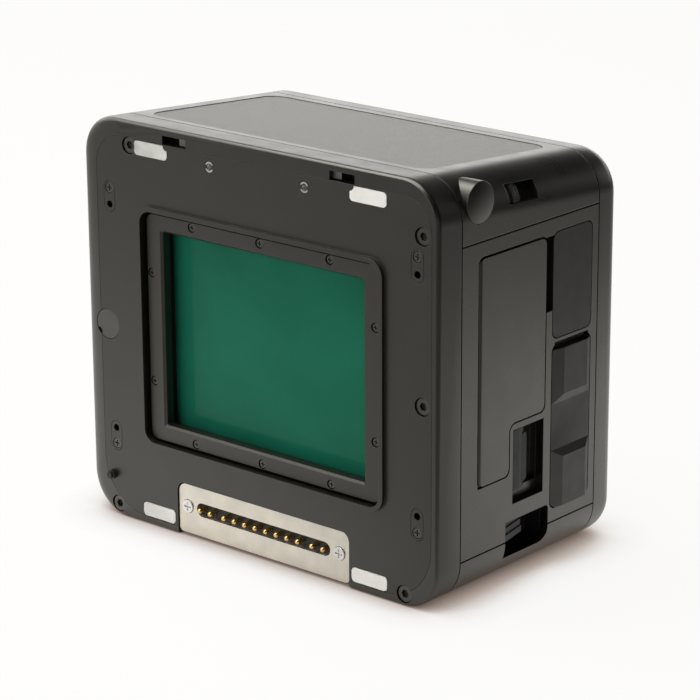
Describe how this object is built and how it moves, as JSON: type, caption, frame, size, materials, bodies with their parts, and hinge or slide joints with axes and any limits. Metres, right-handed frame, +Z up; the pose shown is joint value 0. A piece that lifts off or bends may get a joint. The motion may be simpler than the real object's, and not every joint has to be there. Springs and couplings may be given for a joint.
{
  "type": "medium format digital back",
  "caption": "Boxy black digital back with a green filtered sensor window in its front mount plate, gold contacts, side battery door and rubber covers, and a sloping top.",
  "frame": {"origin": "under the middle of the bounding box, on the surface that the back stands on", "axes": "+Z up, the sensor window faces -Y, the port side is +X"},
  "size_m": [0.0996, 0.0622, 0.0897],
  "materials": {
    "body_black": "satin black anodised",
    "plate_black": "fine matte black anodised",
    "mask_black": "matte black",
    "inlay_grain": "fine grained",
    "trim_black": "matte",
    "black_screw": "black oxide",
    "rubber": "matte",
    "white_pad": "smooth",
    "steel": "satin",
    "contact_steel": "bead blasted",
    "bright_screw": "polished",
    "gold": "gold plated",
    "filter_glass": "polished",
    "sensor": "smooth",
    "board": "solder mask",
    "chip": "matte",
    "inner_metal": "machined",
    "inner_black": "black anodised",
    "copper": "rolled",
    "battery_case": "satin",
    "card_case": "satin",
    "display": "polished"
  },
  "bodies": {
    "body": {"front_frame": "body_black", "mount_plate": "plate_black", "case_screws": "black_screw", "upper_pads": "white_pad", "lower_pads": "white_pad", "hook_catches": "steel", "threaded_bushes": "black_screw", "locating_inserts": "plate_black", "insert_screws": "black_screw", "round_plug": "trim_black", "mask_frame": "mask_black", "mask_screws": "black_screw", "sensor_housing": "mask_black", "filter_gasket": "trim_black", "ir_filter": "filter_glass", "image_sensor": "sensor", "sensor_board": "board", "sensor_carrier": "inner_metal", "carrier_screws": "steel", "heat_spreader": "copper", "contact_plate": "contact_steel", "contact_plate_screws": "bright_screw", "contact_block": "trim_black", "chassis": "inner_black", "top_cover": "body_black", "top_inlay": "inlay_grain", "bottom_cover": "body_black", "right_side_cover": "body_black", "left_side_cover": "body_black", "power_switch": "chip", "top_board": "board", "slider_track": "trim_black", "door_hinge_pin": "steel", "finger_scoop": "trim_black", "battery": "battery_case", "battery_tray": "trim_black", "network_jack": "steel", "usb_jack": "steel", "port_board": "board", "card_reader": "steel", "memory_cards": "card_case", "main_board": "board", "processor": "chip", "power_board": "board", "rear_bezel": "body_black", "rear_plate": "inner_metal", "display_module": "trim_black", "display_glass": "display"},
    "power_button": {"power_button": "body_black"},
    "lock_slider": {"lock_slider": "body_black"},
    "battery_door": {"battery_door": "body_black"},
    "battery_latch": {"battery_latch": "trim_black"},
    "port_cover": {"port_cover": "rubber"},
    "card_cover": {"card_cover": "rubber"},
    "sense_plunger": {"sense_plunger": "trim_black"},
    "contact_pins": {"contact_pins": "gold"},
    "upper_left_key": {"upper_left_key": "body_black"},
    "lower_left_key": {"lower_left_key": "body_black"},
    "upper_right_key": {"upper_right_key": "body_black"},
    "lower_right_key": {"lower_right_key": "body_black"}
  },
  "joints": [
    {"name": "power_press", "type": "slide", "parent": "body", "child": "power_button", "axis": [-1, 0, 0], "range_m": [0, 0.0008], "stiffness_N_per_m": 800},
    {"name": "lock_slide", "type": "slide", "parent": "body", "child": "lock_slider", "axis": [0, 0.9974, -0.0724], "range_m": [0, 0.005]},
    {"name": "battery_door_hinge", "type": "hinge", "parent": "body", "child": "battery_door", "pos_m": [0.04815, -0.01545, 0.0478], "axis": [0, 0, -1], "range_deg": [0, 95]},
    {"name": "latch_slide", "type": "slide", "parent": "body", "child": "battery_latch", "axis": [0, 1, 0], "range_m": [0, 0.0032], "stiffness_N_per_m": 200},
    {"name": "port_cover_hinge", "type": "hinge", "parent": "body", "child": "port_cover", "pos_m": [0.04905, 0.021, 0.06095], "axis": [0, 0, 1], "range_deg": [0, 100]},
    {"name": "card_cover_hinge", "type": "hinge", "parent": "body", "child": "card_cover", "pos_m": [0.04905, 0.021, 0.03022], "axis": [0, 0, 1], "range_deg": [0, 100]},
    {"name": "sense_press", "type": "slide", "parent": "body", "child": "sense_plunger", "axis": [0, 1, 0], "range_m": [0, 0.0012], "stiffness_N_per_m": 300},
    {"name": "contact_press", "type": "slide", "parent": "body", "child": "contact_pins", "axis": [0, 1, 0], "range_m": [0, 0.0007], "stiffness_N_per_m": 1200},
    {"name": "upper_left_press", "type": "slide", "parent": "body", "child": "upper_left_key", "axis": [0, -1, 0], "range_m": [0, 0.0004], "stiffness_N_per_m": 800},
    {"name": "lower_left_press", "type": "slide", "parent": "body", "child": "lower_left_key", "axis": [0, -1, 0], "range_m": [0, 0.0004], "stiffness_N_per_m": 800},
    {"name": "upper_right_press", "type": "slide", "parent": "body", "child": "upper_right_key", "axis": [0, -1, 0], "range_m": [0, 0.0004], "stiffness_N_per_m": 800},
    {"name": "lower_right_press", "type": "slide", "parent": "body", "child": "lower_right_key", "axis": [0, -1, 0], "range_m": [0, 0.0004], "stiffness_N_per_m": 800}
  ]
}
